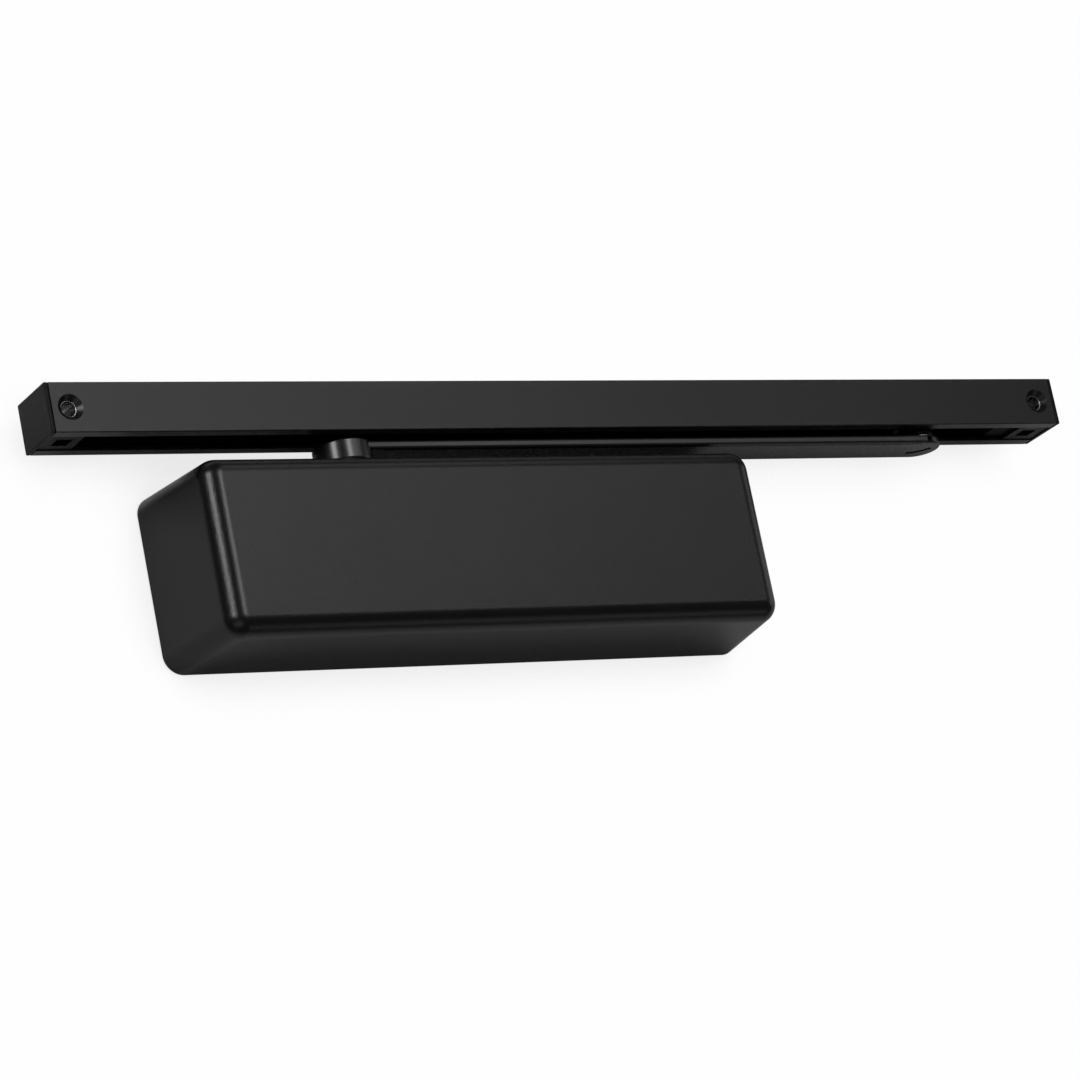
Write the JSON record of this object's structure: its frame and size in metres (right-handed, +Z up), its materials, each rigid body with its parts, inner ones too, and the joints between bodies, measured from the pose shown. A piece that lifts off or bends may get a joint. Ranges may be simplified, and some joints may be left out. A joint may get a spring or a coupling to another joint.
{
  "type": "door closer",
  "caption": "Surface door closer with a full cover, a single arm with a roller, and a straight slide track above it; rack-and-pinion, spring and hydraulic parts inside.",
  "frame": {"origin": "centre of the closer body's mounting face, on the face that bears on the door", "axes": "+X along the door from the spindle towards the free end of the track, +Y from the closer into the door, +Z up"},
  "size_m": [0.565, 0.058, 0.1272],
  "materials": {
    "powder_coat": "fine-grained black powder coat, satin",
    "black_anodised": "satin black anodised extrusion",
    "black_steel": "smooth black painted steel, semi-gloss",
    "black_plastic": "black moulded nylon, satin",
    "rubber": "black rubber",
    "cast_iron": "cast iron with a thin dark paint",
    "steel": "turned and ground steel",
    "spring_steel": "oiled dark spring steel",
    "brass": "turned brass"
  },
  "bodies": {
    "closer_body": {"cover": "powder_coat", "body_casting": "cast_iron", "end_plug_left": "steel", "end_plug_right": "steel", "plug_seal_left": "rubber", "plug_seal_right": "rubber", "cover_clip_left": "spring_steel", "cover_clip_right": "spring_steel", "clip_screw_left": "steel", "clip_screw_right": "steel", "bearing_upper": "steel", "bearing_lower": "steel", "thrust_washer_upper": "brass", "thrust_washer_lower": "brass", "shaft_seal_upper": "rubber", "shaft_seal_lower": "rubber", "bearing_cap_upper": "black_steel", "bearing_cap_lower": "black_steel", "closing_spring": "spring_steel"},
    "swing_arm": {"pinion": "steel", "arm": "black_steel", "arm_screw": "black_steel", "arm_washer": "black_steel", "roller_stud": "steel", "stud_pin": "spring_steel", "roller_washer": "steel", "roller_circlip": "spring_steel"},
    "piston": {"piston": "steel", "check_ball": "steel", "ball_retainer": "brass"},
    "bush": {"roller_bush": "brass"},
    "roller": {"track_roller": "black_plastic"},
    "track": {"track_channel": "black_anodised", "end_block_left": "black_plastic", "end_block_right": "black_plastic", "end_cap_left": "black_plastic", "end_cap_right": "black_plastic", "screw_sleeve_left": "steel", "screw_sleeve_right": "steel", "track_bumper": "rubber"},
    "spring_seat": {"spring_seat": "steel"},
    "power_adjuster": {"power_adjuster": "steel"},
    "backcheck_valve": {"backcheck_valve": "brass"},
    "sweep_valve": {"sweep_valve": "brass"},
    "latch_valve": {"latch_valve": "brass"}
  },
  "joints": [
    {"name": "arm_swing", "type": "hinge", "parent": "closer_body", "child": "swing_arm", "pos_m": [-0.06, -0.03, 0], "axis": [0, 0, 1], "range_deg": [0, 150], "stiffness_Nm_per_rad": 6, "springref_deg": -51.57},
    {"name": "piston_slide", "type": "slide", "parent": "closer_body", "child": "piston", "axis": [1, 0, 0], "range_m": [0, 0.0275], "deforming": ["closing_spring"]},
    {"name": "track_swing", "type": "hinge", "parent": "swing_arm", "child": "bush", "pos_m": [0.27, -0.03, 0], "axis": [0, 0, 1], "range_deg": [-60, 60]},
    {"name": "track_slide", "type": "slide", "parent": "bush", "child": "track", "axis": [1, 0, 0], "range_m": [-0.035, 0.45]},
    {"name": "roller_spin", "type": "hinge", "parent": "bush", "child": "roller", "pos_m": [0.27, -0.03, 0], "axis": [0, 0, 1], "range_deg": [-2300, 2300]},
    {"name": "power_adjuster_turn", "type": "hinge", "parent": "closer_body", "child": "power_adjuster", "pos_m": [0.139, -0.03, 0], "axis": [1, 0, 0], "range_deg": [0, 2170]},
    {"name": "spring_seat_slide", "type": "slide", "parent": "closer_body", "child": "spring_seat", "axis": [-1, 0, 0], "range_m": [0, 0.009], "deforming": ["closing_spring"]},
    {"name": "backcheck_valve_turn", "type": "hinge", "parent": "closer_body", "child": "backcheck_valve", "pos_m": [0.04, -0.03, 0], "axis": [0, 0, 1], "range_deg": [-360, 360]},
    {"name": "sweep_valve_turn", "type": "hinge", "parent": "closer_body", "child": "sweep_valve", "pos_m": [0.096, -0.03, 0], "axis": [0, 0, 1], "range_deg": [-360, 360]},
    {"name": "latch_valve_turn", "type": "hinge", "parent": "closer_body", "child": "latch_valve", "pos_m": [0.114, -0.03, 0], "axis": [0, 0, 1], "range_deg": [-360, 360]}
  ],
  "couplings": [
    {"joint": "piston_slide", "follows": "arm_swing", "m_per_rad": 0.0105},
    {"joint": "power_adjuster_turn", "follows": "spring_seat_slide", "rad_per_m": 4188.8},
    {"joint": "roller_spin", "follows": "track_slide", "rad_per_m": 86.207}
  ]
}
